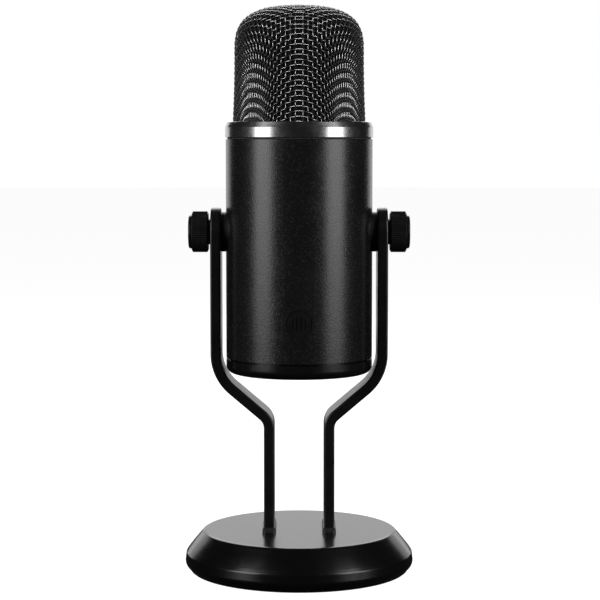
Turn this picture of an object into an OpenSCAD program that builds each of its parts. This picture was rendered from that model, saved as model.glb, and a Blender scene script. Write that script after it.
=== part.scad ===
// Desktop microphone on a yoke stand: a can-shaped head that tilts between two bent bars,
// held by two thumb screws, on a round weighted base. The front is the -Y side, the controls
// are on the +Y side, and the sockets and the boom-arm thread are in the underside of the head.
// Millimetres, +Z up, origin at the centre of the base's underside.

/* [Base] */
// Radius of the base at its widest
base_r = 59.7; // [59:0.1:61]
// Height of the base
base_h = 21; // [20.5:0.1:22]
// Height of the crease between the base's shoulder and its rim band
crease_z = 9.6; // [9:0.1:10.5]

/* [Yoke] */
// Height of the tilt axis above the table
pivot_z = 177.2; // [176:0.1:179]
// Distance from the middle to the centre of each arm beside the head
arm_x = 43.1; // [43:0.1:44]
// Distance from the middle to the centre of each leg below the head
leg_x = 15.6; // [15:0.1:17]
// Thickness of the flat bar
bar_t = 5.4; // [5:0.1:5.5]
// Width of the flat bar
bar_w = 25; // [24:0.5:25]
// Height at which the arms start to bend inwards
bend_z = 114.5; // [113:0.5:116]
// Angle of the sloping part of the arms from the vertical
bend_a = 49.7; // [48:0.1:51]

/* [Head] */
// Outer radius of the body tube
body_r = 38; // [37.8:0.1:38]
// Underside of the bottom cap
head_z = 103.9; // [103.5:0.1:104.5]
// Lower edge of the body tube
shell_z = 111.9; // [111.6:0.1:112.2]
// Upper edge of the body tube
shell_top_z = 225.3; // [225:0.1:226]
// Height of the bright neck ring
ring_h = 8.1; // [8:0.1:8.6]
// Outer radius of the neck ring
ring_r = 38.3; // [38.2:0.1:38.5]

/* [Grille] */
// Radius of the grille beside the capsules
grille_r = 33.5; // [33:0.1:33.8]
// Top of the grille
grille_top_z = 293.7; // [292:0.1:295]
// Height of the domed part of the grille
dome_h = 23.7; // [23:0.1:24.5]

/* [Controls] */
// Radius of the thumb screws that clamp the head
thumb_r = 10.6; // [10:0.1:11]
// Radius of the three turning controls
dial_r = 8.6; // [8:0.1:8.8]
// Height of the mute button
mute_z = 209; // [208:0.5:210]
// Height of the headphone volume dial
volume_z = 187; // [186:0.5:188]
// Height of the gain dial
gain_z = 163; // [162:0.5:164]
// Height of the pickup pattern dial
pattern_z = 139; // [138:0.5:140]

/* [Hidden] */
$fn = 64;

// Yoke
slide_gap = 0.1;                     // air between faces that slide on each other
bar_edge_r = 0.9;                    // rounded edges of the flat bar
seam = 0.05;                         // overlap where straight bar meets a bend
bend_r = 24.5;                       // centreline radius of the bend beside the head
foot_bend_r = 8.5;                   // centreline radius of the bend above the legs
bend_run = bend_r + foot_bend_r;
slope_len = (arm_x - leg_x - bend_run * (1 - cos(bend_a))) / sin(bend_a);
leg_top_z = bend_z - bend_run * sin(bend_a) - slope_len * cos(bend_a);
arm_out_x = arm_x + bar_t / 2;       // outer face of an arm
arm_in_x = arm_x - bar_t / 2;        // inner face of an arm
stud_r = 2.95;                       // M6 thumb screw
arm_bore_r = 3.3;
insert_bore_r = 3;

// Base
weight_h = 7;
base_flat_r = 48.6;                  // flat part of the base's top
plate_t = 2;
plate_z = 1.2;                       // underside of the steel plate
wall = 2.4;                          // wall of the cast cover
leg_end_z = plate_z + plate_t;       // the legs stand on the steel plate
boot_h = 2.8;
boot_out = 0.85;                     // how far a boot stands out round the foot of its leg
boot_lip = 0.4;                      // and round its upper edge
boot_slope = 1.8;                    // height of the sloping part between the two
boot_fit = 0.04;                     // the boots are a close fit on the legs
plate_screw_r = 38;                  // circle of the base plate's screws
arm_screw_y = 7.5;                   // half the distance between the screws in one leg
leg_gap = 0.2;                       // extra width of the slots the legs pass through
base_hole_r = 1.7;                   // screw holes in the steel plate
base_head_h = 0.9;                   // height of the screw heads under the plate
pad_inner_r = base_r - 15;

// Head
body_wall = 2;
bore_r = body_r - body_wall;
cap_top_z = shell_z - 0.6;           // leaves the shadow groove above the cap
cap_edge_r = 4;
spigot_z = shell_z + 5;
cap_screw_r = 30.3;
cap_screw_angles = [90, 210, 330];
gasket_t = 0.6;
ring_z = shell_top_z + gasket_t;
ring_top_z = ring_z + ring_h;
ring_lip_r = 35.1;                   // opening of the ring round the grille
ring_bevel_h = 2.8;                  // the ring's sloping upper part
ring_bevel_w = 1.2;
ring_edge_r = 0.4;
mount_bore_r = 7.45;                 // minor diameter of the 5/8 inch boom-arm thread
mount_len = 7.9;
mount_r = 10.95;
mount_flange_r = 14;
socket_len = 9.8;                    // opening for the USB-C plug
socket_w = 4;
usb_x = -10;
jack_x = 10;
socket_y = 22;
io_z = head_z + 16;                  // underside of the connector board
badge_z = 132.7;
badge_r = 7.6;
spot_y = 36.8;                       // flat seats of the controls in the shell
dial_h = 8.8;                        // how far a dial stands out of its seat
board_y = 14;                        // front face of the main board
board_t = 1.6;
board_screw_x = 24.5;
board_screw_z = [132, 212];
board_w = 54;
board_h = 88;
board_z = 128;                       // lower edge of the main board
board_top_z = 212;                   // where the flat lead leaves the main board
pot_y = board_y + board_t;
bush_len = 15.4;                     // control body and bush in front of the board
pot_w = 12;                          // square body of a turning control
pot_depth = 7;
bush_r = 4;
mute_button_r = 6.1;
mute_hole_r = 6.4;
mute_seat_r = 8.3;
dial_hole_r = 3.6;
dial_flutes = 40;
capsule_z = 262;
capsule_x = 8.1;                     // back of a capsule, from the middle
capsule_r = 8;
capsule_t = 7;
capsule_angles = [-90, 30, 150];     // facing the front and the two rear quarters
bracket_r = 25;                      // foot plate of the capsule bracket
bracket_t = 2.9;
preamp_r = 20;
upper_ring_z = shell_top_z - 7;      // underside of the chassis' upper ring
lower_ring_z = io_z + 1.7;
rail_x = 25;
rail_w = 8;
frame_ring_t = 3;                    // height of the chassis' two rings
pivot_boss_r = 7.5;
pivot_boss_len = 13.5;
insert_r = 5;
insert_x = 23.5;                     // inner end of a pivot insert
insert_len = 14.1;
spacer_r = 10.3;
spacer_x = 30;
washer_r = 6.6;
washer_t = 1.1;
knob_flutes = 56;
knob_len = 8.6;
cap_len = 1.7;
knob_x = arm_out_x + slide_gap + washer_t + 0.05;
stud_x = 29;                         // inner end of a thumb screw's stud

// Grille
mesh_t = 1;
foam_gap = 0.4;
foam_t = 2.2;
dome_power = 2.87;                   // superellipse exponent of the dome
flare = 1.2;                         // how much wider the grille is at the neck ring
grille_z = ring_z + 3;

function arc(cx, cy, r, from, to, n = 8) =
    [for (i = [0:n]) let (a = from + (to - from) * i / n) [cx + r * cos(a), cy + r * sin(a)]];

// Points of the grille's outline from its foot to its top, set in by an offset.
function grille_side(inset) = [
    for (i = [0:6])
        let (t = i / 6, z = grille_z + t * (grille_top_z - dome_h - grille_z))
        [grille_r + flare * pow(1 - t, 2) - inset, z]
];
function grille_dome(inset) = [
    for (a = [8:8:88])
        [(grille_r - inset) * pow(sin(90 - a), 2 / dome_power),
         grille_top_z - dome_h + (dome_h - inset) * pow(sin(a), 2 / dome_power)]
];
function grille_line(inset) =
    concat(grille_side(inset), grille_dome(inset), [[0, grille_top_z - inset]]);
function reversed(list) = [for (i = [len(list) - 1:-1:0]) list[i]];

module revolve(points) {
    rotate_extrude($fn = 96) polygon(points);
}

// Turns a shape drawn along +Z so that it points along +X or +Y.
module along_x() { rotate([0, 90, 0]) children(); }
module along_y() { rotate([-90, 0, 0]) children(); }

// side is 1 for the right (+X) and -1 for the left.
module on_side(side) { mirror([side < 0 ? 1 : 0, 0, 0]) children(); }

module tube(r_out, r_in, h) {
    difference() {
        cylinder(r = r_out, h = h);
        translate([0, 0, -1]) cylinder(r = r_in, h = h + 2);
    }
}

module rounded_rect(w, d, r) {
    square([w - 2 * r, d], center = true);
    square([w, d - 2 * r], center = true);
    for (sx = [-1, 1], sy = [-1, 1])
        translate([sx * (w / 2 - r), sy * (d / 2 - r)]) circle(r = r, $fn = 24);
}

// A slot outline with round ends.
module stadium(w, d) {
    square([w - d, d], center = true);
    for (s = [-1, 1]) translate([s * (w - d) / 2, 0]) circle(d = d, $fn = 24);
}

// Fluted barrel along +Z, on a core that ends in a smooth chamfered step.
module fluted_barrel(r, h, flutes, depth, chamfer) {
    step = 180 / flutes;
    core_r = r - depth - 0.15;
    translate([0, 0, chamfer]) linear_extrude(h - 2 * chamfer)
        polygon([for (i = [0:2 * flutes - 1])
            let (q = r - (i % 2) * depth) [q * cos(i * step), q * sin(i * step)]]);
    revolve([[0, 0], [core_r - chamfer, 0], [core_r, chamfer], [core_r, h - chamfer],
             [core_r - chamfer, h], [0, h]]);
}

// Screw with a cross recess, head down at z = 0 and shank up.
module screw(head_r, head_h, shank_r, len) {
    difference() {
        cylinder(r = head_r, h = head_h, $fn = 32);
        for (a = [0, 90])
            rotate([0, 0, a]) cube([head_r * 1.2, head_r * 0.28, head_h], center = true);
    }
    translate([0, 0, head_h]) cylinder(r = shank_r, h = len, $fn = 24);
}

/* Base */

// Outer outline of the base from the middle of its top to its lower edge.
function base_outline() =
    let (shoulder_r = 110, edge_r = 3, foot_r = 4)
    concat(
        [[0, base_h]],
        arc(base_flat_r, base_h - edge_r, edge_r, 90, 42, 6),
        arc(56.2 - shoulder_r * cos(38), 13.6 - shoulder_r * sin(38), shoulder_r, 40.2, 36.4, 5),
        arc(base_r - 2.2, crease_z - 0.8, 1.8, 33, 6, 4),
        arc(base_r - foot_r, 5.2, foot_r, 4, -62, 7)
    );

module base_cover() {
    color("#101011") difference() {
        revolve(concat(base_outline(), [[base_r - 2.6, 0.6], [0, 0.6]]));
        revolve([[0, -1], [base_r - 3.2, -1], [base_r - 3.2, plate_z + plate_t + 0.1],
                 [base_r - 5.5, plate_z + plate_t + 0.1], [base_r - 5.5, crease_z - 1],
                 [base_r - 14, base_h - wall - 0.8], [0, base_h - wall - 0.8]]);
        for (side = [-1, 1])
            translate([side * leg_x, 0, base_h - wall - 2])
                linear_extrude(wall + 3) square([bar_t + leg_gap, bar_w + leg_gap], center = true);
    }
}

module base_weight() {
    color("#3c3c3e") difference() {
        translate([0, 0, leg_end_z]) cylinder(r = base_r - 16, h = weight_h, $fn = 96);
        for (side = [-1, 1])
            translate([side * leg_x, 0, leg_end_z - 1])
                linear_extrude(14) square([bar_t + leg_gap, bar_w + leg_gap], center = true);
        for (a = [45:90:315])
            rotate([0, 0, a]) translate([plate_screw_r, 0, leg_end_z - 1])
                cylinder(r = 1.6, h = 8, $fn = 24);
    }
}

module base_plate() {
    color("#8b8d90") difference() {
        translate([0, 0, plate_z]) cylinder(r = base_r - 3.4, h = plate_t, $fn = 96);
        for (a = [45:90:315])
            rotate([0, 0, a]) translate([plate_screw_r, 0, plate_z - 1])
                cylinder(r = base_hole_r, h = plate_t + 2, $fn = 24);
        for (side = [-1, 1], s = [-1, 1])
            translate([side * leg_x, s * arm_screw_y, plate_z - 1])
                cylinder(r = base_hole_r, h = plate_t + 2, $fn = 24);
    }
}

module base_pad() {
    color("#1a1a1b") difference() {
        cylinder(r = base_r - 3.4, h = plate_z, $fn = 96);
        translate([0, 0, -1]) cylinder(r = pad_inner_r, h = plate_z + 2, $fn = 96);
    }
}

module base_plate_screws() {
    color("#b5b7ba") for (a = [45:90:315])
        rotate([0, 0, a]) translate([plate_screw_r, 0, plate_z - base_head_h])
            screw(2.8, base_head_h, 1.5, 8);
}

/* Yoke */

module bar_section() { rounded_rect(bar_t, bar_w, bar_edge_r); }

// A straight length of bar along +Z. Its ends run a hair inside the bends they join.
module bar(len) {
    translate([0, 0, -seam]) linear_extrude(len + 2 * seam)
        rounded_rect(bar_t - seam / 10, bar_w - seam / 10, bar_edge_r);
}

// A bend in the bar about an axis along Y, from one angle to another in the XZ plane.
module bar_bend(r, from, to) {
    rotate([90, 0, 0]) rotate([0, 0, from])
        rotate_extrude(angle = to - from, $fn = 96) translate([r, 0]) bar_section();
}

// The round end of the bar, a half disc about the tilt axis.
module bar_eye() {
    rotate([0, 90, 0]) rotate([0, 0, 90]) rotate_extrude(angle = 180, $fn = 96)
        intersection() {
            rotate(90) bar_section();
            translate([0, -bar_t]) square([bar_w, 2 * bar_t]);
        }
}

module arm(side) {
    slope_start = [arm_x - bend_r * (1 - cos(bend_a)), bend_z - bend_r * sin(bend_a)];
    color("#0e0e0f") on_side(side) difference() {
        union() {
            translate([arm_x, 0, pivot_z]) bar_eye();
            translate([arm_x, 0, bend_z]) bar(pivot_z - bend_z);
            translate([arm_x - bend_r, 0, bend_z]) bar_bend(bend_r, -bend_a, 0);
            translate([slope_start.x, 0, slope_start.y]) rotate([0, bend_a, 0])
                translate([0, 0, -slope_len]) bar(slope_len);
            translate([leg_x + foot_bend_r, 0, leg_top_z])
                bar_bend(foot_bend_r, 180 - bend_a, 180);
            translate([leg_x, 0, leg_end_z + seam]) bar(leg_top_z - leg_end_z - seam);
        }
        translate([arm_x - bar_t, 0, pivot_z]) along_x() cylinder(r = arm_bore_r, h = 2 * bar_t);
        for (s = [-1, 1])
            translate([leg_x, s * arm_screw_y, leg_end_z - 1])
                cylinder(r = 1.25, h = 10, $fn = 24);
    }
}

module arm_screws() {
    color("#b5b7ba") for (side = [-1, 1], s = [-1, 1])
        translate([side * leg_x, s * arm_screw_y, plate_z - base_head_h])
            screw(2.6, base_head_h, 1.2, 9);
}

// Side outline of a boot, with a sloping shoulder round a leg of the given width.
module boot_side(leg) {
    foot = leg / 2 + boot_out;
    lip = leg / 2 + boot_lip;
    polygon([[-foot, -1], [foot, -1], [foot, boot_h - boot_slope], [lip, boot_h],
             [-lip, boot_h], [-foot, boot_h - boot_slope]]);
}

// A plastic collar that hides the slot where a leg enters the base.
module leg_boot(side) {
    color("#0b0b0c") on_side(side) translate([leg_x, 0, base_h]) difference() {
        intersection() {
            linear_extrude(boot_h)
                rounded_rect(bar_t + 2 * boot_out, bar_w + 2 * boot_out, boot_out + bar_edge_r);
            rotate([90, 0, 0]) linear_extrude(bar_w * 2, center = true) boot_side(bar_t);
            rotate([90, 0, 90]) linear_extrude(bar_t * 4, center = true) boot_side(bar_w);
        }
        translate([0, 0, -1]) linear_extrude(boot_h + 2)
            square([bar_t + boot_fit, bar_w + boot_fit], center = true);
    }
}

/* Head casing */

module control_seat(z, r, hole_r) {
    translate([0, spot_y, z]) along_y() cylinder(r = r, h = 5, $fn = 48);
    translate([0, bore_r - 4, z]) along_y() cylinder(r = hole_r, h = 8, $fn = 48);
}

module body_shell() {
    edge = 0.3;
    color("#151516") difference() {
        revolve([[bore_r, shell_z], [body_r - edge, shell_z], [body_r, shell_z + edge],
                 [body_r, shell_top_z - edge], [body_r - edge, shell_top_z],
                 [bore_r, shell_top_z]]);
        for (z = [volume_z, gain_z, pattern_z]) control_seat(z, dial_r + 0.8, dial_hole_r);
        control_seat(mute_z, mute_seat_r, mute_hole_r);
        translate([-body_r - 1, 0, pivot_z]) along_x()
            cylinder(r = insert_r + 0.1, h = 2 * body_r + 2);
        // Pocket for the badge, which leaves a thin skin behind it
        intersection() {
            translate([0, -body_r - 1, badge_z]) along_y() cylinder(r = badge_r, h = 6);
            translate([0, 0, badge_z - 10]) tube(body_r + 1, body_r - 1.3, 20, $fn = 128);
        }
    }
}

module bottom_cap() {
    color("#111112") difference() {
        revolve(concat(
            [[0, head_z]],
            arc(body_r - cap_edge_r, head_z + cap_edge_r, cap_edge_r, -90, 0, 8),
            [[body_r, cap_top_z], [bore_r - 0.1, cap_top_z], [bore_r - 0.1, spigot_z],
             [bore_r - 3, spigot_z], [bore_r - 3, head_z + 4], [0, head_z + 4]]));
        translate([0, 0, head_z - 1]) cylinder(r = mount_r + 0.05, h = 8);
        translate([usb_x, socket_y, head_z - 1]) linear_extrude(8)
            stadium(socket_len, socket_w);
        translate([jack_x, socket_y, head_z - 1]) cylinder(r = 3.3, h = 8, $fn = 32);
        for (a = cap_screw_angles)
            rotate([0, 0, a]) translate([cap_screw_r, 0, head_z - 1]) {
                cylinder(r = 1.6, h = 8, $fn = 24);
                cylinder(r = 3.1, h = 2.6, $fn = 24);
            }
    }
}

module cap_screws() {
    color("#2a2a2b") for (a = cap_screw_angles)
        rotate([0, 0, a]) translate([cap_screw_r, 0, head_z + 0.4]) screw(2.8, 1.2, 1.25, 12);
}

// Brass bush with the boom-arm thread, flanged above the cap.
module mount_insert() {
    color("#b08d3e") translate([0, 0, head_z]) difference() {
        union() {
            cylinder(r = mount_r, h = mount_len);
            translate([0, 0, 4]) cylinder(r = mount_flange_r, h = 2);
        }
        translate([0, 0, -1]) cylinder(r = mount_bore_r, h = mount_len + 2);
    }
}

module neck_gasket() {
    color("#050505") translate([0, 0, shell_top_z]) tube(body_r - 0.9, bore_r, gasket_t);
}

module neck_ring() {
    slope = atan(ring_bevel_w / ring_bevel_h);
    color("#2b2c2e") revolve(concat(
        [[ring_lip_r, ring_z], [ring_r - 0.3, ring_z], [ring_r, ring_z + 0.3],
         [ring_r, ring_top_z - ring_bevel_h]],
        arc(ring_r - ring_bevel_w - ring_edge_r, ring_top_z - ring_edge_r, ring_edge_r,
            slope, 90, 5),
        [[ring_lip_r, ring_top_z]]));
}

// The badge is a plain round medallion with five level bars; it follows the tube's curve.
module badge() {
    bar_heights = [3.2, 6, 8.6, 6, 3.2];
    color("#121213") {
        intersection() {
            translate([0, -body_r - 1, badge_z]) along_y() cylinder(r = badge_r - 0.05, h = 6);
            translate([0, 0, badge_z - 10]) tube(body_r - 0.35, body_r - 1.28, 20, $fn = 128);
        }
        intersection() {
            translate([0, -body_r - 1, badge_z]) along_y() tube(badge_r - 0.05, badge_r - 0.95, 6);
            translate([0, 0, badge_z - 10]) tube(body_r + 0.05, body_r - 1.28, 20, $fn = 128);
        }
        intersection() {
            for (i = [0:4])
                translate([(i - 2) * 2.1, -body_r - 1, badge_z]) rotate([-90, 0, 0])
                    linear_extrude(6) rotate(90) stadium(bar_heights[i], 1);
            translate([0, 0, badge_z - 10]) tube(body_r + 0.02, body_r - 1.28, 20, $fn = 128);
        }
    }
}

/* Grille and capsules */

module grille_mesh() {
    color("#26272a") revolve(concat(grille_line(0), reversed(grille_line(mesh_t))));
}

module windscreen_foam() {
    outer = mesh_t + foam_gap;
    color("#0a0a0a") revolve(concat(grille_line(outer), reversed(grille_line(outer + foam_t))));
}

module grille_rim() {
    color("#1b1b1c") {
        translate([0, 0, ring_z - 0.1]) tube(ring_lip_r - 0.1, 30, grille_z - ring_z + 0.1);
        translate([0, 0, upper_ring_z + 3]) tube(bore_r - 0.1, 31, ring_z - upper_ring_z - 3);
    }
}

module capsule_isolator() {
    color("#202021") translate([0, 0, ring_z]) tube(29.95, bracket_r + 0.05, bracket_t);
}

module capsule_bracket() {
    color("#303032") {
        translate([0, 0, ring_z]) cylinder(r = bracket_r, h = bracket_t);
        for (a = capsule_angles)
            rotate([0, 0, a]) translate([17, 0, ring_z - 2.4]) cylinder(r = 1.8, h = 3, $fn = 24);
        translate([0, 0, ring_z + 2.8]) cylinder(r = 4, h = capsule_z - ring_z - 8, $fn = 32);
        translate([0, 0, capsule_z - 9]) cylinder(r = 5, h = 18, $fn = 32);
        for (a = capsule_angles)
            rotate([0, 0, a]) translate([3, -2, capsule_z - 8]) cube([capsule_x - 3, 4, 16]);
    }
}

// A small condenser capsule facing outwards at an angle about the Z axis.
module capsule(a) {
    color("#c8a24a") rotate([0, 0, a]) translate([capsule_x, 0, capsule_z]) along_x() difference() {
        cylinder(r = capsule_r, h = capsule_t, $fn = 48);
        translate([0, 0, capsule_t - 0.8]) cylinder(r = capsule_r - 1.2, h = 2, $fn = 48);
        for (b = [0:60:300])
            rotate([0, 0, b]) translate([capsule_r / 2, 0, capsule_t - 1.6])
                cylinder(r = 0.9, h = 3, $fn = 16);
    }
}

module preamp_board() {
    color("#1d5b34") translate([0, 0, ring_z - 4]) {
        cylinder(r = preamp_r, h = board_t);
        for (x = [-9, 0, 9]) translate([x - 2, -8, 1.5]) cube([4, 5, 1.6]);
    }
}

// Flat lead from the capsule board down to the main board.
module capsule_lead() {
    width = 9;
    lead_t = 0.8;
    top = ring_z - 4.1;
    color("#d8d8d6") translate([-width / 2, 0, 0]) {
        translate([0, 12.5, board_top_z]) cube([width, lead_t, top - board_top_z]);
        translate([0, 4, top - lead_t]) cube([width, 9, lead_t]);
    }
}

/* Electronics and inner frame */

module chassis() {
    rail_z = lower_ring_z + 2;
    color("#39393b") difference() {
        union() {
            for (z = [lower_ring_z, upper_ring_z])
                translate([0, 0, z]) tube(bore_r - 0.3, 26, frame_ring_t);
            for (s = [-1, 1]) on_side(s) {
                translate([rail_x - rail_w / 2, 2, rail_z])
                    cube([rail_w, board_y - 2, upper_ring_z + 1 - rail_z]);
                translate([rail_x - rail_w / 2, 0, pivot_z]) along_x()
                    cylinder(r = pivot_boss_r, h = pivot_boss_len);
            }
            for (a = cap_screw_angles)
                rotate([0, 0, a]) translate([cap_screw_r, 0, head_z + 4.1])
                    cylinder(r = 2.2, h = lower_ring_z + 1 - head_z - 4.1, $fn = 32);
        }
        translate([-body_r, 0, pivot_z]) along_x() cylinder(r = insert_r + 0.02, h = 2 * body_r);
        for (a = cap_screw_angles)
            rotate([0, 0, a]) translate([cap_screw_r, 0, head_z])
                cylinder(r = 1.28, h = 16, $fn = 24);
        for (s = [-1, 1], z = board_screw_z)
            translate([s * board_screw_x, board_y - 7, z]) along_y()
                cylinder(r = 1.12, h = 8, $fn = 24);
    }
}

module main_board() {
    color("#1d5b34") translate([-board_w / 2, board_y, board_z]) difference() {
        cube([board_w, board_t, board_h]);
        for (s = [-1, 1], z = board_screw_z)
            translate([board_w / 2 + s * board_screw_x, -1, z - board_z]) along_y()
                cylinder(r = 1.2, h = 4, $fn = 24);
    }
}

module board_screws() {
    color("#b5b7ba") for (s = [-1, 1], z = board_screw_z)
        translate([s * board_screw_x, board_y + board_t + 1.2, z]) rotate([90, 0, 0])
            screw(2.2, 1.2, 1.1, 7);
}

module io_board() {
    color("#1d5b34") translate([0, 0, io_z]) difference() {
        intersection() {
            cylinder(r = bore_r - 0.5, h = board_t);
            translate([-22, 13, -1]) cube([44, 30, 4]);
        }
        translate([0, cap_screw_r, -1]) cylinder(r = 2.5, h = 4, $fn = 32);
    }
}

module usb_socket() {
    color("#c9cbce") translate([usb_x, socket_y, head_z + 0.8]) {
        linear_extrude(io_z - head_z - 0.8) difference() {
            stadium(9, 3.2);
            stadium(8.4, 2.6);
        }
        translate([0, 0, io_z - head_z - 3.8]) linear_extrude(3) stadium(8.5, 2.7);
        translate([-3.35, -0.35, 1]) cube([6.7, 0.7, io_z - head_z - 4]);
    }
}

module headphone_jack() {
    color("#1c1c1d") translate([jack_x, socket_y, head_z + 0.4]) difference() {
        union() {
            cylinder(r = 3, h = 5, $fn = 48);
            translate([-4, -4, 4]) cube([8, 8, io_z - head_z - 4.4]);
        }
        translate([0, 0, -1]) cylinder(r = 1.8, h = 14, $fn = 48);
    }
}

// The fixed part of a turning control: a square body on the board and a bush round the shaft.
module control_body(z) {
    color("#6e7175") difference() {
        union() {
            translate([-pot_w / 2, pot_y, z - pot_w / 2]) cube([pot_w, pot_depth, pot_w]);
            translate([0, pot_y + 6, z]) along_y() cylinder(r = bush_r, h = bush_len - 6, $fn = 48);
        }
        translate([0, pot_y + 5, z]) along_y() cylinder(r = 3, h = bush_len, $fn = 48);
    }
}

module mute_switch() {
    color("#6e7175") {
        translate([-3, pot_y, mute_z - 3]) cube([6, 3.5, 6]);
        translate([0, pot_y + 3, mute_z]) along_y() cylinder(r = 1.7, h = 1.5, $fn = 32);
    }
}

module mute_light_ring() {
    color("#e8e8e6") translate([0, spot_y, mute_z]) along_y()
        tube(mute_seat_r - 0.1, mute_hole_r + 0.1, 0.7);
}

// A dial with its shaft, seated in the shell's rear side.
module dial(z) {
    color("#101011") translate([0, 0, z]) {
        difference() {
            translate([0, spot_y + 0.4, 0]) along_y()
                fluted_barrel(dial_r, dial_h, dial_flutes, 0.3, 0.6);
            translate([-0.5, spot_y + dial_h, 2.4]) cube([1, 2, dial_r]);
        }
        translate([0, pot_y + 6, 0]) along_y() cylinder(r = stud_r, h = spot_y - pot_y - 5, $fn = 48);
    }
}

module mute_button() {
    color("#161617") translate([0, 0, mute_z]) {
        translate([0, 32, 0]) rotate([-90, 0, 0]) rotate_extrude($fn = 64)
            polygon(concat([[0, 0], [mute_button_r, 0]], arc(mute_button_r - 0.6, 6, 0.6, 0, 90, 4),
                           [[3, 6.4], [0, 6.25]]));
        translate([0, pot_y + 5.6, 0]) along_y() cylinder(r = 2, h = 32.5 - pot_y - 5.6, $fn = 32);
    }
}

/* Tilt pivot, one set on each side */

module pivot_insert(side) {
    color("#b08d3e") on_side(side) translate([insert_x, 0, pivot_z]) along_x()
        tube(insert_r, insert_bore_r, insert_len);
}

module pivot_spacer(side) {
    color("#0c0c0d") on_side(side) difference() {
        translate([spacer_x, 0, pivot_z]) along_x()
            tube(spacer_r, stud_r + 0.4, arm_in_x - slide_gap - spacer_x);
        translate([0, 0, pivot_z - 20]) cylinder(r = body_r + 0.02, h = 40, $fn = 128);
    }
}

module thumb_washer(side) {
    color("#0c0c0d") on_side(side) translate([arm_out_x + slide_gap, 0, pivot_z]) along_x()
        tube(washer_r, stud_r + 0.05, washer_t);
}

module thumb_knob(side) {
    color("#111112") on_side(side) translate([knob_x, 0, pivot_z]) along_x() difference() {
        fluted_barrel(thumb_r, knob_len, knob_flutes, 0.28, 0.5);
        translate([0, 0, -1]) cylinder(r = stud_r, h = 6, $fn = 48);
        translate([0, 0, knob_len - 1]) cylinder(r = thumb_r - 1.85, h = 2);
    }
}

module thumb_cap(side) {
    color("#1c1c1e") on_side(side) translate([knob_x + knob_len - 1, 0, pivot_z]) along_x()
        rotate_extrude($fn = 96)
            polygon(concat([[0, 0], [thumb_r - 1.9, 0]],
                           arc(thumb_r - 2.9, cap_len, 1, 0, 90, 4), [[0, cap_len + 1]]));
}

module thumb_stud(side) {
    color("#9b9da1") on_side(side) translate([stud_x, 0, pivot_z]) along_x()
        cylinder(r = stud_r, h = knob_x + 5 - stud_x, $fn = 48);
}

base_cover();
base_weight();
base_plate();
base_pad();
base_plate_screws();
leg_boot(-1);  // leg_boot_left
leg_boot(1);  // leg_boot_right
arm(-1);  // arm_left
arm(1);  // arm_right
arm_screws();
body_shell();
bottom_cap();
cap_screws();
mount_insert();
neck_gasket();
neck_ring();
grille_mesh();
windscreen_foam();
grille_rim();
badge();
capsule_bracket();
capsule_isolator();
capsule(-90);  // capsule_front
capsule(150);  // capsule_rear_left
capsule(30);  // capsule_rear_right
preamp_board();
capsule_lead();
chassis();
main_board();
board_screws();
io_board();
usb_socket();
headphone_jack();
control_body(volume_z);  // volume_pot
control_body(gain_z);  // gain_pot
control_body(pattern_z);  // pattern_switch
mute_switch();
mute_light_ring();
pivot_insert(-1);  // pivot_insert_left
pivot_insert(1);  // pivot_insert_right
pivot_spacer(-1);  // pivot_spacer_left
pivot_spacer(1);  // pivot_spacer_right
dial(volume_z);  // volume_dial
dial(gain_z);  // gain_dial
dial(pattern_z);  // pattern_dial
mute_button();
thumb_washer(-1);  // thumb_washer_left
thumb_washer(1);  // thumb_washer_right
thumb_knob(-1);  // thumb_knob_left
thumb_knob(1);  // thumb_knob_right
thumb_cap(-1);  // thumb_cap_left
thumb_cap(1);  // thumb_cap_right
thumb_stud(-1);  // thumb_stud_left
thumb_stud(1);  // thumb_stud_right
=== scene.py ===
"""A desktop microphone on a yoke stand: looks, light and camera, built round its CAD frame.

Everything is in metres in the frame's own axes: +Z up, the plain front of the head faces -Y.
"""

import math

import bpy
import numpy as np
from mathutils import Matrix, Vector


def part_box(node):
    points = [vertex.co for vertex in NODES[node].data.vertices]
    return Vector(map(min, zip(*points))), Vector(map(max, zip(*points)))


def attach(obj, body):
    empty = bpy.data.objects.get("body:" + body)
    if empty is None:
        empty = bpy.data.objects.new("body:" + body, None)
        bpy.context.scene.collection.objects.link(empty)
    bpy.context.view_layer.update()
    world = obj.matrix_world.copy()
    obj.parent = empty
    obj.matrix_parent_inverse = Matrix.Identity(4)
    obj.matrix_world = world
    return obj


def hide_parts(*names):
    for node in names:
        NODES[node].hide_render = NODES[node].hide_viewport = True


MM = 0.001
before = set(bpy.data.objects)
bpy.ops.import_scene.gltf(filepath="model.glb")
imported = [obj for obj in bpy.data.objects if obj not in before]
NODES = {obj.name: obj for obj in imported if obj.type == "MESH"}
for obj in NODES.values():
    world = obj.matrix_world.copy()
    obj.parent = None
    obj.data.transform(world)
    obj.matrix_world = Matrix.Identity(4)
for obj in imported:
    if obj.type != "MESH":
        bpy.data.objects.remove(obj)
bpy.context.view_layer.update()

# ---------------------------------------------------------------- camera

EYE = Vector((0.00044, -0.990, 0.2256))
TILT_DOWN = math.radians(4.85)
LENS = 114.4
SENSOR = 36.0

camera_data = bpy.data.cameras.new("camera")
camera_data.lens = LENS
camera_data.sensor_width = SENSOR
camera_data.clip_start = 0.05
camera_data.clip_end = 60.0
camera = bpy.data.objects.new("camera", camera_data)
camera.location = EYE
camera.rotation_euler = (math.radians(90) - TILT_DOWN, 0, 0)
bpy.context.scene.collection.objects.link(camera)
bpy.context.scene.camera = camera
bpy.context.scene.view_settings.view_transform = "Standard"

# ---------------------------------------------------------------- node helpers


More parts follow.
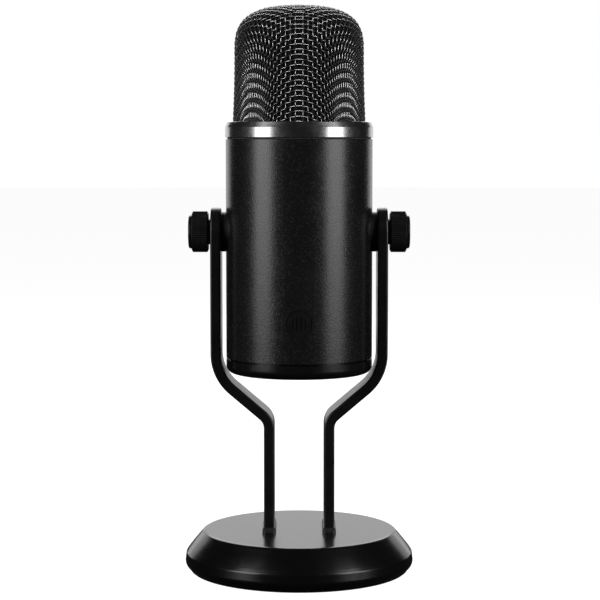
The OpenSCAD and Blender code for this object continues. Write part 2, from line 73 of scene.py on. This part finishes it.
class Shader:
    """A Principled material that is filled in step by step."""

    def __init__(self, name, base, rough, metallic=0.0, specular=0.5):
        self.material = bpy.data.materials.new(name)
        self.material.use_nodes = True
        self.tree = self.material.node_tree
        self.principled = self.tree.nodes["Principled BSDF"]
        self.base = base
        self.rough = rough
        self.set("Base Color", (*base, 1))
        self.set("Roughness", rough)
        self.set("Metallic", metallic)
        self.set("Specular IOR Level", specular)
        self.coords = self.node("ShaderNodeTexCoord").outputs["Object"]
        self.bump = None

    def set(self, socket, value):
        self.principled.inputs[socket].default_value = value

    def node(self, kind, **settings):
        made = self.tree.nodes.new(kind)
        for key, value in settings.items():
            setattr(made, key, value)
        return made

    def link(self, a, b):
        self.tree.links.new(a, b)

    def noise(self, scale, detail=3.0, stretch=None):
        made = self.node("ShaderNodeTexNoise")
        made.inputs["Scale"].default_value = scale
        made.inputs["Detail"].default_value = detail
        source = self.coords
        if stretch:
            mapping = self.node("ShaderNodeMapping")
            mapping.inputs["Scale"].default_value = stretch
            self.link(source, mapping.inputs["Vector"])
            source = mapping.outputs["Vector"]
        self.link(source, made.inputs["Vector"])
        return made.outputs["Fac"]

    def cells(self, scale):
        made = self.node("ShaderNodeTexVoronoi")
        made.inputs["Scale"].default_value = scale
        self.link(self.coords, made.inputs["Vector"])
        return made

    def remap(self, value, low, high, to_low, to_high):
        made = self.node("ShaderNodeMapRange")
        for key, number in (("From Min", low), ("From Max", high),
                            ("To Min", to_low), ("To Max", to_high)):
            made.inputs[key].default_value = number
        self.link(value, made.inputs["Value"])
        return made.outputs["Result"]

    def mix(self, factor, a, b):
        """Mix of two colours, each a tuple or an output socket."""
        made = self.node("ShaderNodeMix", data_type="RGBA")
        self.link(factor, made.inputs["Factor"])
        inputs = [s for s in made.inputs if s.type == "RGBA"]
        for socket, value in zip(inputs, (a, b)):
            if isinstance(value, tuple):
                socket.default_value = (*value, 1)
            else:
                self.link(value, socket)
        return [s for s in made.outputs if s.type == "RGBA"][0]

    def tint(self, scale, low, high, detail=3.0, stretch=None):
        """Base colour drifts between low and high times the base."""
        factor = self.remap(self.noise(scale, detail, stretch), 0.3, 0.7, 0, 1)
        colour = self.mix(factor, tuple(c * low for c in self.base),
                          tuple(c * high for c in self.base))
        self.link(colour, self.principled.inputs["Base Color"])
        self.colour = colour
        return self

    def gloss(self, scale, spread, detail=3.0, stretch=None):
        """Roughness drifts round its set value by spread."""
        rough = self.remap(self.noise(scale, detail, stretch), 0.3, 0.7,
                           self.rough - spread, self.rough + spread)
        self.link(rough, self.principled.inputs["Roughness"])
        self.rough_out = rough
        return self

    def raise_by(self, pattern, height):
        """Adds a pattern to the surface relief; height is in metres."""
        bump = self.node("ShaderNodeBump")
        bump.inputs["Strength"].default_value = 1.0
        bump.inputs["Distance"].default_value = height
        self.link(pattern, bump.inputs["Height"])
        if self.bump:
            self.link(self.bump, bump.inputs["Normal"])
        self.bump = bump.outputs["Normal"]
        self.link(self.bump, self.principled.inputs["Normal"])
        return self

    def relief(self, scale, height, detail=2.0, stretch=None):
        return self.raise_by(self.noise(scale, detail, stretch), height)

    def grit(self, scale, height):
        """Small pits and ridges, cell by cell."""
        return self.raise_by(self.cells(scale).outputs["Distance"], height)

    def fleck(self, scale, share, bright, rough):
        """Small bright grains scattered through the paint."""
        grain = self.cells(scale)
        split = self.node("ShaderNodeSeparateColor")
        self.link(grain.outputs["Color"], split.inputs["Color"])
        mask = self.remap(split.outputs["Red"], 1 - share, 1 - share * 0.6, 0, 1)
        self.link(self.mix(mask, self.colour, bright), self.principled.inputs["Base Color"])
        mixed = self.node("ShaderNodeMix", data_type="FLOAT")
        factor, paint_rough, grain_rough = [s for s in mixed.inputs if s.type == "VALUE"]
        self.link(mask, factor)
        self.link(self.rough_out, paint_rough)
        grain_rough.default_value = rough
        self.link(mixed.outputs[0], self.principled.inputs["Roughness"])
        return self


def paint(name, base, rough, specular):
    return (Shader(name, base, rough, specular=specular)
            .tint(45, 0.85, 1.2).gloss(160, 0.035).relief(2600, 0.00001))


def moulding(name, base, rough, height=0.000008):
    return Shader(name, base, rough).tint(70, 0.85, 1.2).gloss(220, 0.04).relief(4200, height)


def metal(name, base, rough, stretch=(1, 1, 1), height=0.000003):
    return (Shader(name, base, rough, metallic=1.0)
            .tint(240, 0.9, 1.1, stretch=stretch).gloss(420, 0.05, stretch=stretch)
            .relief(2400, height, stretch=stretch))


# ---------------------------------------------------------------- materials
# Scales are in features per metre, heights in metres. DRESS says which nodes wear what.

M = {
    "base": Shader("base_powder_coat", (0.0016, 0.0016, 0.0017), 0.2, specular=0.5)
    .tint(30, 0.8, 1.25).gloss(140, 0.02).relief(1500, 0.000012),
    "bar": Shader("bar_powder_coat", (0.002, 0.002, 0.0021), 0.33, specular=0.45)
    .tint(40, 0.8, 1.2).gloss(120, 0.03).relief(1800, 0.00001),
    "body": Shader("body_fleck_paint", (0.0035, 0.0035, 0.0037), 0.255, specular=0.5)
    .tint(35, 0.85, 1.2).gloss(90, 0.02).relief(1900, 0.000006).grit(1500, 0.00003)
    .fleck(1700, 0.2, (0.0065, 0.0065, 0.0068), 0.32),
    "cap": paint("cap_paint", (0.0025, 0.0025, 0.0027), 0.24, specular=0.36),
    "chrome": Shader("black_chrome", (0.36, 0.36, 0.37), 0.21, metallic=1.0)
    .tint(60, 0.95, 1.05).gloss(300, 0.02).relief(900, 0.000002),
    "wire": Shader("grille_wire", (0.004, 0.004, 0.004), 0.3, specular=0.8)
    .tint(900, 0.75, 1.3).gloss(1300, 0.04),
    "foam": Shader("open_cell_foam", (0.006, 0.006, 0.006), 0.95, specular=0.1)
    .tint(900, 0.5, 1.5, detail=4).relief(1400, 0.0003, detail=4),
    "rubber": Shader("rubber", (0.022, 0.022, 0.022), 0.72, specular=0.4)
    .tint(90, 0.8, 1.25).gloss(500, 0.08).relief(1600, 0.00004, detail=5),
    "boot": moulding("boot_moulding", (0.003, 0.003, 0.003), 0.42),
    "acetal": moulding("acetal", (0.004, 0.004, 0.004), 0.42),
    "dial": moulding("dial_moulding", (0.014, 0.014, 0.015), 0.36),
    "button": moulding("button_moulding", (0.03, 0.03, 0.032), 0.45),
    "thumb": Shader("thumb_screw_black", (0.004, 0.004, 0.0042), 0.33, specular=0.5)
    .tint(120, 0.8, 1.25).gloss(400, 0.04).relief(3000, 0.000008),
    "thumb_cap": Shader("thumb_cap_gloss", (0.004, 0.004, 0.0042), 0.22, specular=0.5)
    .tint(120, 0.85, 1.2).gloss(350, 0.03).relief(2400, 0.000004),
    "badge": moulding("badge_moulding", (0.004, 0.004, 0.0042), 0.26, height=0.000003),
    "nylon": moulding("glass_filled_nylon", (0.035, 0.035, 0.036), 0.55, height=0.00002),
    "zinc": metal("zinc_plate", (0.55, 0.56, 0.58), 0.34, height=0.000006),
    "steel": metal("machined_steel", (0.5, 0.5, 0.52), 0.3, stretch=(1, 12, 12)),
    "black_steel": metal("blackened_steel", (0.09, 0.09, 0.095), 0.36),
    "brass": metal("turned_brass", (0.72, 0.5, 0.2), 0.26, stretch=(1, 1, 9)),
    "gold": metal("gold_contact", (0.9, 0.68, 0.3), 0.2),
    "nickel": metal("nickel_shell", (0.66, 0.65, 0.62), 0.22),
    "board": Shader("circuit_board", (0.012, 0.07, 0.03), 0.35)
    .tint(500, 0.6, 1.5, stretch=(1, 1, 4)).gloss(300, 0.06).relief(900, 0.00002),
    "lead": moulding("flat_lead", (0.6, 0.6, 0.57), 0.5),
    "frosted": Shader("frosted_light_guide", (0.72, 0.74, 0.76), 0.4)
    .tint(260, 0.94, 1.03).gloss(300, 0.06).relief(2200, 0.00001),
    "ink": Shader("white_print", (0.7, 0.7, 0.71), 0.55)
    .tint(900, 0.85, 1.1).gloss(900, 0.05),
}
DRESS = {
    "base": ["base_cover"],
    "zinc": ["base_weight", "base_plate", "base_plate_screws", "arm_screws", "board_screws"],
    "rubber": ["base_pad", "neck_gasket", "capsule_isolator"],
    "bar": ["arm_left", "arm_right"],
    "boot": ["leg_boot_left", "leg_boot_right"],
    "body": ["body_shell"],
    "cap": ["bottom_cap"],
    "black_steel": ["cap_screws"],
    "brass": ["mount_insert", "pivot_insert_left", "pivot_insert_right"],
    "chrome": ["neck_ring"],
    "wire": ["grille_mesh"],
    "foam": ["windscreen_foam"],
    "badge": ["badge"],
    "nylon": ["grille_rim", "capsule_bracket", "chassis"],
    "gold": ["capsule_front", "capsule_rear_left", "capsule_rear_right"],
    "board": ["preamp_board", "main_board", "io_board"],
    "lead": ["capsule_lead"],
    "nickel": ["usb_socket", "volume_pot", "gain_pot", "pattern_switch", "mute_switch"],
    "acetal": ["headphone_jack", "pivot_spacer_left", "pivot_spacer_right",
               "thumb_washer_left", "thumb_washer_right"],
    "frosted": ["mute_light_ring"],
    "dial": ["volume_dial", "gain_dial", "pattern_dial"],
    "button": ["mute_button"],
    "thumb": ["thumb_knob_left", "thumb_knob_right"],
    "thumb_cap": ["thumb_cap_left", "thumb_cap_right"],
    "steel": ["thumb_stud_left", "thumb_stud_right"],
}
for key, names in DRESS.items():
    for node_name in names:
        data = NODES[node_name].data
        data.materials.clear()
        data.materials.append(M[key].material)

# ---------------------------------------------------------------- making pieces


def piece(name, vertices, faces, material, body, smooth=True):
    """A new mesh that rides on a body and wears one of the script's own materials."""
    mesh = bpy.data.meshes.new(name)
    mesh.from_pydata([tuple(v) for v in vertices], [], [tuple(f) for f in faces])
    mesh.update()
    mesh.materials.append(M[material].material)
    if smooth:
        mesh.polygons.foreach_set("use_smooth", [True] * len(mesh.polygons))
    made = bpy.data.objects.new(name, mesh)
    bpy.context.scene.collection.objects.link(made)
    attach(made, body)
    return made


def tubes(paths, radius, sides):
    """Vertices and faces of closed tubes along paths. Each path is (points, normals)."""
    vertices, faces, count = [], [], 0
    turns = np.arange(sides) * 2 * math.pi / sides
    for points, normals in paths:
        along = np.gradient(points, axis=0)
        along /= np.linalg.norm(along, axis=1, keepdims=True)
        side = np.cross(along, normals)
        side /= np.linalg.norm(side, axis=1, keepdims=True)
        up = np.cross(side, along)
        ring = (side[:, None, :] * np.cos(turns)[None, :, None]
                + up[:, None, :] * np.sin(turns)[None, :, None]) * radius
        vertices.append((points[:, None, :] + ring).reshape(-1, 3))
        n = len(points)
        i = np.arange(n - 1)[:, None] * sides
        j = np.arange(sides)[None, :]
        k = (j + 1) % sides
        quads = np.stack([i + j, i + k, i + sides + k, i + sides + j], axis=-1).reshape(-1, 4)
        faces.extend((quads + count).tolist())
        faces.append([count + s for s in range(sides - 1, -1, -1)])
        faces.append([count + (n - 1) * sides + s for s in range(sides)])
        count += n * sides
    return np.concatenate(vertices), faces


# ---------------------------------------------------------------- wire grille

DOME_HEIGHT = 23.7 * MM
DOME_POWER = 2.87
FLARE = 1.2 * MM
PITCH = 2.56 * MM             # distance between neighbouring wires of the flat sheet
CENTRE_GAP = 1.9 * MM         # half the wider cell that runs down the front and back
ROW_PHASE = 0.5               # where the first crosswise wire lies, in pitches
WIRE = 0.25 * MM              # radius of a wire
WEAVE = 0.28 * MM             # how far a wire moves in and out
CROWDING = 0.57               # how fast the wires crowd on the diagonals going down
DIAGONAL_SHARE = 0.68         # the spread of the sheet left there, at the least
LEAN_POWER = 0.75             # how soon the cells start to lean beside the front
STEPS = 5                     # points on a wire per pitch
WIRE_SIDES = 6
FOOT_GAP = 0.2 * MM           # the wires stop this far above the grille's foot

grille_low, grille_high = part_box("grille_mesh")
GRILLE_R = grille_high.x - FLARE


def grille_profile(inset, steps=260):
    """Points (r, z) of the grille's outline from the top to the foot, set in by inset."""
    shoulder = grille_high.z - DOME_HEIGHT
    a = np.linspace(math.pi / 2, 0, steps)
    r = (GRILLE_R - inset) * np.cos(a).clip(0) ** (2 / DOME_POWER)
    z = shoulder + (DOME_HEIGHT - inset) * np.sin(a) ** (2 / DOME_POWER)
    t = np.linspace(1, 0, 60)[1:]
    wall_r = GRILLE_R - inset + FLARE * (1 - t) ** 2
    wall_z = grille_low.z + t * (shoulder - grille_low.z)
    return np.concatenate([r, wall_r]), np.concatenate([z, wall_z])


def grille_wires():
    """The two families of wires of a flat woven sheet that was drawn over the dome.

    The wires keep their length. Straight down the front, back and sides the cells stay
    square; towards the diagonals they lean into tall narrow lozenges.
    """
    r, z = grille_profile(WIRE + WEAVE)
    # s is the distance along the outline from the top, rho the same on the flat sheet.
    s = np.concatenate([[0], np.cumsum(np.hypot(np.diff(r), np.diff(z)))])
    dr, dz = np.gradient(r, s), np.gradient(z, s)
    length = s[-1]

    rho = np.linspace(1e-6, length, 400)
    spread = rho / np.interp(rho, s, r).clip(1e-6)
    share = (1 - CROWDING * (spread - 1)).clip(DIAGONAL_SHARE)
    crowd, second = (spread - share) / 2, (spread + share) / 2 - 1
    lean = np.zeros_like(rho)
    for i in range(1, len(rho)):
        across = min(1.0, float(np.interp(lean[i - 1], s, r)) / rho[i] * share[i])
        lean[i] = lean[i - 1] + math.sqrt(2 - across ** 2) * (rho[i] - rho[i - 1])

    def to_surface(u, v, offset):
        """Point (u, v) of the flat sheet on the dome, with its normal and distance down."""
        distance = np.hypot(u, v)
        angle = np.arctan2(u, v)
        diagonal = np.abs(np.sin(2 * angle)) ** (2 * LEAN_POWER)
        down = distance + (np.interp(distance, rho, lean) - distance) * diagonal
        turn = (angle + np.interp(distance, rho, crowd) / 4 * np.sin(4 * angle)
                + np.interp(distance, rho, second) / 8 * np.sin(8 * angle))
        radius = np.interp(down, s, r)
        height = np.interp(down, s, z)
        out_r, out_z = -np.interp(down, s, dz), np.interp(down, s, dr)
        normal = np.stack([out_r * np.sin(turn), -out_r * np.cos(turn), out_z], axis=-1)
        normal /= np.linalg.norm(normal, axis=1, keepdims=True)
        point = np.stack([radius * np.sin(turn), -radius * np.cos(turn), height], axis=-1)
        return point + normal * offset[:, None], normal, down

    count = int(length / PITCH) + 1
    along = np.arange(-count * STEPS, count * STEPS + 1) * PITCH / STEPS
    from_gap = (np.abs(along) - CENTRE_GAP).clip(0)
    families = [[], []]
    for k in range(-count, count):
        column = k if k >= 0 else -k - 1
        u = math.copysign(CENTRE_GAP + column * PITCH, k + 0.5)
        v = (k + ROW_PHASE) * PITCH
        down_wave = np.cos(math.pi * (along / PITCH - ROW_PHASE))
        across_wave = np.cos(math.pi * from_gap / PITCH)
        columns = to_surface(np.full_like(along, u), along, -WEAVE * (-1) ** column * down_wave)
        rows = to_surface(along, np.full_like(along, v), WEAVE * (-1) ** k * across_wave)
        for family, (points, normals, down) in zip(families, (columns, rows)):
            keep = down < length - FOOT_GAP
            if keep.sum() > 2 * STEPS:
                family.append((points[keep], normals[keep]))
    return families


wire_pieces = []
for family, wires in zip(("lengthwise", "crosswise"), grille_wires()):
    half = len(wires) // 2
    for part, share in (("a", wires[:half]), ("b", wires[half:])):
        vertices, faces = tubes(share, WIRE, WIRE_SIDES)
        wire_pieces.append(
            piece(f"grille_{family}_{part}", vertices, faces, "wire", "head"))
for made in wire_pieces:
    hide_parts("grille_mesh")


def lathe(name, r, z, segments, material, body, shift=None):
    """A closed ring of revolution from a closed outline of (r, z) points."""
    turns = np.arange(segments) * 2 * math.pi / segments
    n = len(r)
    points = np.stack([np.outer(np.cos(turns), r), np.outer(np.sin(turns), r),
                       np.tile(z, (segments, 1))], axis=-1).reshape(-1, 3)
    if shift is not None:
        points = shift(points)
    faces = []
    for i in range(segments):
        j = (i + 1) % segments
        for a in range(n):
            b = (a + 1) % n
            faces.append((i * n + a, j * n + a, j * n + b, i * n + b))
    return piece(name, points, faces, material, body)


# ---------------------------------------------------------------- foam

FOAM_GAP = 1.4 * MM
FOAM_THICKNESS = 2.2 * MM
FOAM_STEPS = 60
CRUMB = 0.12 * MM             # height of the lumps in the foam
TOP_HOLE = 0.3 * MM           # the lathe starts just off the axis, so that no face collapses
outer_r, outer_z = grille_profile(FOAM_GAP, FOAM_STEPS)
inner_r, inner_z = grille_profile(FOAM_GAP + FOAM_THICKNESS, FOAM_STEPS)
outline_r = np.concatenate([outer_r, inner_r[::-1]]).clip(TOP_HOLE)
outline_z = np.concatenate([outer_z, inner_z[::-1]])


def crumb(points):
    """Small lumps in the foam's surface, from fixed waves."""
    wave = (np.sin(points[:, 0] * 3100 + points[:, 2] * 900)
            * np.sin(points[:, 1] * 2700 - points[:, 0] * 800)
            * np.sin(points[:, 2] * 2900 + points[:, 1] * 700))
    middle = np.array([0, 0, grille_high.z - DOME_HEIGHT])
    away = points - middle
    away /= np.linalg.norm(away, axis=1, keepdims=True)
    return points + away * wave[:, None] * CRUMB


foam = lathe("foam_liner", outline_r, outline_z, 160, "foam", "head", crumb)
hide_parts("windscreen_foam")

# ---------------------------------------------------------------- threaded insert

insert_low, insert_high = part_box("mount_insert")
THREAD_MINOR = 7.45 * MM
THREAD_DEPTH = 0.48 * MM
THREAD_PITCH = 25.4 / 27 * MM
INSERT_R = 10.95 * MM
FLANGE_R = insert_high.x
FLANGE_FROM, FLANGE_TO = insert_low.z + 4 * MM, insert_low.z + 6 * MM
EDGE = 0.2 * MM               # bevel of the insert's lower rim
FACE_R = THREAD_MINOR + 0.9 * MM
LEAD_IN = 0.7 * MM            # widening of the bore at its mouth
LEAD_IN_LENGTH = 0.8 * MM
RUN_OUT = 0.3 * MM            # where the thread fades at the upper end


def threaded_insert():
    """A flanged brass bush with a helical thread groove cut into its bore."""
    segments, rows = 96, 84
    turns = np.arange(segments) / segments
    heights = np.linspace(insert_low.z, insert_high.z, rows)
    columns = []
    outside = [(INSERT_R, insert_high.z), (INSERT_R, FLANGE_TO), (FLANGE_R, FLANGE_TO),
               (FLANGE_R, FLANGE_FROM), (INSERT_R, FLANGE_FROM),
               (INSERT_R, insert_low.z + EDGE), (INSERT_R - EDGE, insert_low.z),
               (FACE_R, insert_low.z)]
    for turn in turns:
        phase = (heights / THREAD_PITCH - turn) % 1
        crest = np.clip(1.25 - 2.5 * np.abs(phase - 0.5), 0, 1)
        groove = 1 - np.clip(crest * 1.1, 0, 1)
        fade = np.clip((insert_high.z - heights) / RUN_OUT, 0, 1)
        lead_in = np.clip(1 - (heights - insert_low.z) / LEAD_IN_LENGTH, 0, 1) * LEAD_IN
        radius = THREAD_MINOR + np.maximum(THREAD_DEPTH * groove * fade, lead_in)
        ring = list(zip(radius, heights)) + outside
        columns.append([(r * math.cos(turn * 2 * math.pi), r * math.sin(turn * 2 * math.pi), z)
                        for r, z in ring])
    n = len(columns[0])
    faces = []
    for i in range(segments):
        j = (i + 1) % segments
        for a in range(n):
            b = (a + 1) % n
            faces.append((i * n + b, j * n + b, j * n + a, i * n + a))
    return [p for column in columns for p in column], faces


vertices, faces = threaded_insert()
insert = piece("threaded_insert", vertices, faces, "brass", "head", smooth=False)
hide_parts("mount_insert")

# ---------------------------------------------------------------- prints on the rear

BODY_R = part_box("body_shell")[1].x
INK_PROUD = 0.03 * MM
INK_SUNK = 0.05 * MM


def inlays(name, strokes, material):
    """Thin printed lines that follow the tube's rear. A stroke is (points, width)."""
    vertices, faces = [], []
    for points, width in strokes:
        p = np.array(points)
        along = np.gradient(p, axis=0)
        along /= np.linalg.norm(along, axis=1, keepdims=True)
        side = np.stack([-along[:, 1], along[:, 0]], axis=1) * width / 2
        start = len(vertices)
        for x, z in np.stack([p + side, p - side], axis=1).reshape(-1, 2):
            for radius in (BODY_R + INK_PROUD, BODY_R - INK_SUNK):
                vertices.append((x, math.sqrt(radius ** 2 - x ** 2), z))
        for i in range(len(p) - 1):
            a = start + 4 * i
            b = a + 4
            faces += [(a, a + 2, b + 2, b), (a + 1, b + 1, b + 3, a + 3),
                      (a, b, b + 1, a + 1), (a + 2, a + 3, b + 3, b + 2)]
        end = start + 4 * (len(p) - 1)
        faces += [(start, start + 1, start + 3, start + 2), (end, end + 2, end + 3, end + 1)]
    return piece(name, vertices, faces, material, "head", smooth=False)


def dial_centre(node_name):
    low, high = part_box(node_name)
    return (low.z + high.z) / 2


def spot(centre_z, angle, radius):
    """Point (x, z) at a clock angle in degrees round a control."""
    a = math.radians(angle)
    return np.array([radius * math.sin(a), centre_z + radius * math.cos(a)])


def circle(centre, radius):
    turns = np.linspace(0, 2 * math.pi, ICON_STEPS + 1)
    return centre + radius * np.stack([np.cos(turns), np.sin(turns)], axis=-1)


def heart(centre, radius):
    turns = np.linspace(0, 2 * math.pi, ICON_STEPS + 1)
    reach = HEART_SCALE * radius * (1 + np.sin(turns))
    curve = np.stack([reach * np.cos(turns), reach * np.sin(turns)], axis=-1)
    return centre + curve - np.array([0, HEART_DROP * radius])


DIAL_SWING = 140              # degrees each way
TICKS = 11
TICK_FROM, TICK_TO = 10.1 * MM, 11.2 * MM
LONG_TICK = 0.5 * MM          # how much longer the first, middle and last ticks are
TICK_WIDTH = 0.32 * MM
STOP_FROM, STOP_TO = 9.75 * MM, 10.4 * MM
ICON = 1.05 * MM
ICON_RADIUS = 11.9 * MM
ICON_STEPS = 28
HEART_SCALE, HEART_DROP = 0.62, 0.55
LINE = 0.24 * MM


def pattern_icon(kind, middle):
    """The outlines of a generic pickup pattern sign."""
    if kind == "ring":
        return [circle(middle, ICON)]
    if kind == "heart":
        return [heart(middle, ICON)]
    if kind == "pair":
        return [circle(middle + np.array([s * 0.45 * ICON, 0]), 0.72 * ICON) for s in (-1, 1)]
    return [circle(middle + np.array([0, s * 0.58 * ICON]), 0.52 * ICON) for s in (-1, 1)]


strokes = []
for dial in ("volume_dial", "gain_dial"):
    centre_z = dial_centre(dial)
    for i in range(TICKS):
        angle = -DIAL_SWING + 2 * DIAL_SWING / (TICKS - 1) * i
        longer = LONG_TICK if i in (0, TICKS // 2, TICKS - 1) else 0
        ends = [spot(centre_z, angle, TICK_FROM), spot(centre_z, angle, TICK_TO + longer)]
        strokes.append((ends, TICK_WIDTH))
pattern_z = dial_centre("pattern_dial")
for angle, kind in ((-45, "ring"), (0, "heart"), (45, "pair"), (90, "eight")):
    ends = [spot(pattern_z, angle, STOP_FROM), spot(pattern_z, angle, STOP_TO)]
    strokes.append((ends, TICK_WIDTH))
    for outline in pattern_icon(kind, spot(pattern_z, angle, ICON_RADIUS)):
        strokes.append((outline, LINE))
inlays("rear_scale_marks", strokes, "ink")

# ---------------------------------------------------------------- pointers, contacts, bezels


def boxes(name, corners, material, body):
    """Plain blocks in one piece; each is (lowest corner, highest corner)."""
    vertices, faces = [], []
    for low, high in corners:
        start = len(vertices)
        vertices += [(x, y, z) for x in (low[0], high[0]) for y in (low[1], high[1])
                     for z in (low[2], high[2])]
        faces += [tuple(start + i for i in f) for f in
                  ((0, 1, 3, 2), (4, 6, 7, 5), (0, 4, 5, 1), (2, 3, 7, 6), (0, 2, 6, 4), (1, 5, 7, 3))]
    return piece(name, vertices, faces, material, body, smooth=False)


POINTER_HALF = 0.4 * MM
POINTER_SUNK = 0.38 * MM, 0.12 * MM    # its back and face, below the dial's own face
POINTER_FROM = 2.6 * MM                # from the dial's middle
POINTER_EDGE = 1.1 * MM                # left free at the rim
for dial, body in (("volume_dial", "volume_control"), ("gain_dial", "gain_control"),
                   ("pattern_dial", "pattern_control")):
    low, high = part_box(dial)
    back, face = (high.y - depth for depth in POINTER_SUNK)
    boxes(f"{dial}_pointer", [((-POINTER_HALF, back, dial_centre(dial) + POINTER_FROM),
                               (POINTER_HALF, face, high.z - POINTER_EDGE))],
          "ink", body)

CONTACTS = 12                          # on each face of the socket's tongue
CONTACT_PITCH = 0.5 * MM
CONTACT_HALF = 0.13 * MM
CONTACT_T = 0.03 * MM
CONTACT_FROM, CONTACT_TO = 1.3 * MM, 5.3 * MM
TONGUE_HALF = 0.35 * MM
usb_low, usb_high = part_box("usb_socket")
usb_x = (usb_low.x + usb_high.x) / 2
usb_y = (usb_low.y + usb_high.y) / 2
pads = []
for row in (-1, 1):
    for i in range(CONTACTS):
        x = usb_x + (i - (CONTACTS - 1) / 2) * CONTACT_PITCH
        faces_y = sorted((usb_y + row * TONGUE_HALF, usb_y + row * (TONGUE_HALF + CONTACT_T)))
        pads.append(((x - CONTACT_HALF, faces_y[0], usb_low.z + CONTACT_FROM),
                     (x + CONTACT_HALF, faces_y[1], usb_low.z + CONTACT_TO)))
boxes("usb_contacts", pads, "gold", "head")


BEZEL_INNER, BEZEL_OUTER = 1.86 * MM, 3.0 * MM
BEZEL_T = 0.3 * MM
BEZEL_BEVEL = 0.12 * MM
jack_low, jack_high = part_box("headphone_jack")
jack_middle = np.array([(jack_low.x + jack_high.x) / 2, (jack_low.y + jack_high.y) / 2, 0])
bezel_r = np.array([BEZEL_INNER, BEZEL_OUTER - BEZEL_BEVEL, BEZEL_OUTER, BEZEL_OUTER, BEZEL_INNER])
bezel_z = jack_low.z + np.array([-BEZEL_T, -BEZEL_T, BEZEL_BEVEL - BEZEL_T, 0, 0])
lathe("jack_bezel", bezel_r, bezel_z, 72, "nickel", "head", lambda p: p + jack_middle)

# ---------------------------------------------------------------- stage and light

STAGE_R = 8.0
FLOOR_GAP = 0.0002            # keeps the floor just clear of the base's underside


def camera_only(made):
    """Seen by the camera, but neither lights the object nor shows in its gloss."""
    made.visible_diffuse = False
    made.visible_glossy = False
    made.visible_transmission = False
    made.visible_volume_scatter = False
    made.visible_shadow = False


def stage_material(name, glow, albedo):
    material = bpy.data.materials.new(name)
    material.use_nodes = True
    shader = material.node_tree.nodes["Principled BSDF"]
    shader.inputs["Base Color"].default_value = (albedo, albedo, albedo, 1)
    shader.inputs["Roughness"].default_value = 1.0
    shader.inputs["Specular IOR Level"].default_value = 0.0
    shader.inputs["Emission Color"].default_value = (1, 1, 1, 1)
    shader.inputs["Emission Strength"].default_value = glow
    return material


bpy.ops.mesh.primitive_uv_sphere_add(segments=64, ring_count=32, radius=STAGE_R)
backdrop = bpy.context.object
backdrop.name = "backdrop"
backdrop.data.materials.append(stage_material("backdrop_white", 1.0, 0.0))
camera_only(backdrop)
bpy.ops.mesh.primitive_circle_add(vertices=96, radius=STAGE_R * 0.98, fill_type="NGON",
                                  location=(0, 0, -FLOOR_GAP))
floor = bpy.context.object
floor.name = "floor"
floor.data.materials.append(stage_material("floor_pale", 0.96, 0.3))
camera_only(floor)

world = bpy.data.worlds.new("studio")
world.use_nodes = True
world.node_tree.nodes["Background"].inputs["Color"].default_value = (1, 1, 1, 1)
world.node_tree.nodes["Background"].inputs["Strength"].default_value = 0.015
bpy.context.scene.world = world


def softbox(name, place, target, width, height, radiance):
    """A rectangular light of the given radiance, facing target and unseen by the camera."""
    data = bpy.data.lights.new(name, "AREA")
    data.shape = "RECTANGLE"
    data.size = width
    data.size_y = height
    data.energy = radiance * math.pi * width * height
    light = bpy.data.objects.new(name, data)
    light.location = place
    light.rotation_euler = (Vector(target) - Vector(place)).to_track_quat("-Z", "Y").to_euler()
    light.visible_camera = False
    bpy.context.scene.collection.objects.link(light)
    return light


LIGHT_DISTANCE = 1.2


def around(azimuth, height):
    """A place round the object; azimuth 0 is in front, 180 behind."""
    a = math.radians(azimuth)
    return (LIGHT_DISTANCE * math.sin(a), -LIGHT_DISTANCE * math.cos(a), height)


STRIP_AZIMUTH, STRIP_Z = 57.5, 0.66
RIM_AZIMUTH, RIM_Z = 145, 0.26
off_the_grille = []
for side in (-1, 1):
    place, target = around(side * STRIP_AZIMUTH, STRIP_Z), (0, 0, STRIP_Z)
    off_the_grille.append(softbox("strip", place, target, 0.60, 1.20, 3.2))
    off_the_grille.append(softbox("strip_core", place, target, 0.24, 1.20, 14.0))
softbox("back_card", (0, 1.1, 0.42), (0, 0, 0.42), 1.2, 0.84, 1.0)
for side in (-1, 1):
    softbox("rim", around(side * RIM_AZIMUTH, RIM_Z), (0, 0, RIM_Z), 0.34, 0.44, 1.0)
softbox("overhead", (0, 0.1, 1.7), (0, 0, 0.2), 0.9, 0.9, 0.08)
off_the_grille.append(softbox("rear_fill", (0, 1.2, 0.85), (0, 0, 0.16), 1.0, 0.7, 2.2))

# A light from high in front that reaches nothing but the grille. The tall strips, their
# bright cores and the rear fill leave the grille out.
GRILLE_LIGHT_ELEVATION = math.radians(42)
aim = Vector((0, 0, grille_high.z - DOME_HEIGHT))
place = aim + Vector((0, -math.cos(GRILLE_LIGHT_ELEVATION), math.sin(GRILLE_LIGHT_ELEVATION)))
grille_light = softbox("grille_light", place, aim, 0.7, 0.32, 64)
grille_only = bpy.data.collections.new("lit_by_grille_light")
not_the_grille = bpy.data.collections.new("all_but_the_grille")
for made in wire_pieces:
    grille_only.objects.link(made)
    not_the_grille.objects.link(made)
for linked in not_the_grille.collection_objects:
    linked.light_linking.link_state = "EXCLUDE"
grille_light.light_linking.receiver_collection = grille_only
for light in off_the_grille:
    light.light_linking.receiver_collection = not_the_grille
